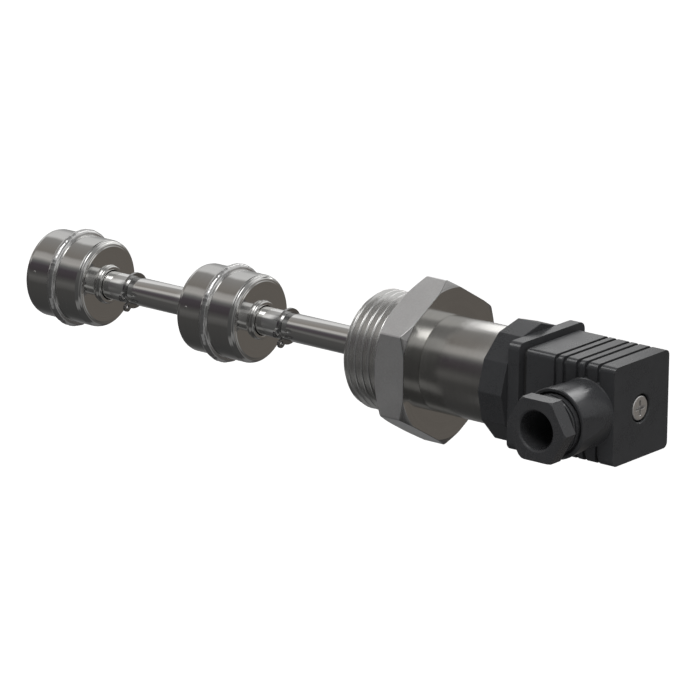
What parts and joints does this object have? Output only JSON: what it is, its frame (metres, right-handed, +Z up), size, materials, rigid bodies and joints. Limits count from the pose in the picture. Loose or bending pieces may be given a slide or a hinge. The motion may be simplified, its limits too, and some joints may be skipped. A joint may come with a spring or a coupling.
{
  "type": "level_sensor",
  "caption": "Float level sensor: slim stem with sliding cylindrical floats, threaded hexagonal fitting, tubular housing and a square plug connector with side cable gland.",
  "frame": {"origin": "On the stem axis at the hexagon's lower face, the face that meets the tank or its seal.", "axes": "+Z runs up the stem axis from the floats to the connector; -Y is the side the cable gland points to; X completes a right-handed frame."},
  "size_m": [0.0466, 0.0545, 0.2133],
  "materials": {
    "stainless_turned": "satin",
    "stainless_tube": "brushed",
    "stainless_polished": "polished",
    "spring_steel": "bright",
    "black_plastic": "matt",
    "black_rubber": "matt",
    "magnet": "matt",
    "strip_board": "satin",
    "contact_glass": "clear",
    "lead_wire": "tinned",
    "wire_insulation": "gloss",
    "resin": "gloss",
    "contact_metal": "tinned",
    "screw_steel": "zinc plated"
  },
  "bodies": {
    "sensor_body": {"process_fitting": "stainless_turned", "housing_tube": "stainless_tube", "stem_tube": "stainless_polished", "stem_end_plug": "stainless_polished", "stem_circlips": "spring_steel", "reed_strip": "strip_board", "lower_reed_switch": "contact_glass", "upper_reed_switch": "contact_glass", "reed_leads": "lead_wire", "signal_wires": "wire_insulation", "potting_fill": "resin", "connector_adapter": "black_plastic", "adapter_seal": "black_rubber", "connector_base": "black_plastic", "contact_blades": "contact_metal", "earth_blade": "contact_metal", "flat_gasket": "black_rubber", "plug_housing": "black_plastic", "terminal_insert": "black_plastic", "terminal_screws": "screw_steel", "fixing_screw": "screw_steel", "screw_seal": "black_rubber", "gland_nut": "black_plastic", "gland_washer": "black_plastic", "gland_grommet": "black_rubber"},
    "lower_float": {"lower_float_upper_shell": "stainless_polished", "lower_float_lower_shell": "stainless_polished", "lower_float_sleeve": "stainless_polished", "lower_float_magnet": "magnet"},
    "upper_float": {"upper_float_upper_shell": "stainless_polished", "upper_float_lower_shell": "stainless_polished", "upper_float_sleeve": "stainless_polished", "upper_float_magnet": "magnet"}
  },
  "joints": [
    {"name": "lower_float_slide", "type": "slide", "parent": "sensor_body", "child": "lower_float", "axis": [0, 0, 1], "range_m": [0, 0.0082]},
    {"name": "upper_float_slide", "type": "slide", "parent": "sensor_body", "child": "upper_float", "axis": [0, 0, 1], "range_m": [0, 0.0082]}
  ]
}
